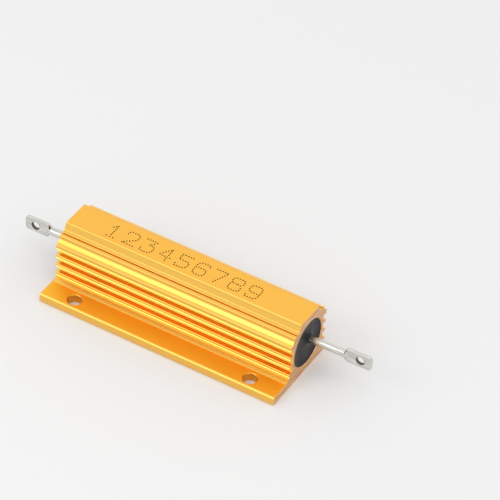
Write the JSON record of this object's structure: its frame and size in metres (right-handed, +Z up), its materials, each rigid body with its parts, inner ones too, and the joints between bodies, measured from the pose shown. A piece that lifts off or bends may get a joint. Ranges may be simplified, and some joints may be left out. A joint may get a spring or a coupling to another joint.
{
  "type": "aluminium housed power resistor",
  "caption": "Chassis-mount wirewound resistor in a finned gold-anodised aluminium extrusion with one drilled mounting flange, black resin end seals and flat lugs with wire holes.",
  "frame": {"origin": "point of the housing's underside below the bore's axis, at mid-length", "axes": "+X along the extrusion towards the longer terminal, +Y across it and away from the flange, +Z up out of the mounting surface"},
  "size_m": [0.1474, 0.0363, 0.026],
  "materials": {
    "gold_anodised_aluminium": "fine-blasted and gold anodised, bare saw-cut ends",
    "cement_filling": "fired cement, matt",
    "ceramic": "unglazed",
    "resistance_wire": "drawn wire",
    "cap_steel": "pressed sheet",
    "tinned_terminal": "hot tinned",
    "black_resin": "cast, satin"
  },
  "bodies": {
    "root": {"housing": "gold_anodised_aluminium", "filling": "cement_filling", "ceramic_core": "ceramic", "resistance_winding": "resistance_wire", "end_cap_left": "cap_steel", "end_cap_right": "cap_steel", "terminal_left": "tinned_terminal", "terminal_right": "tinned_terminal", "end_seal_left": "black_resin", "end_seal_right": "black_resin"}
  },
  "joints": []
}
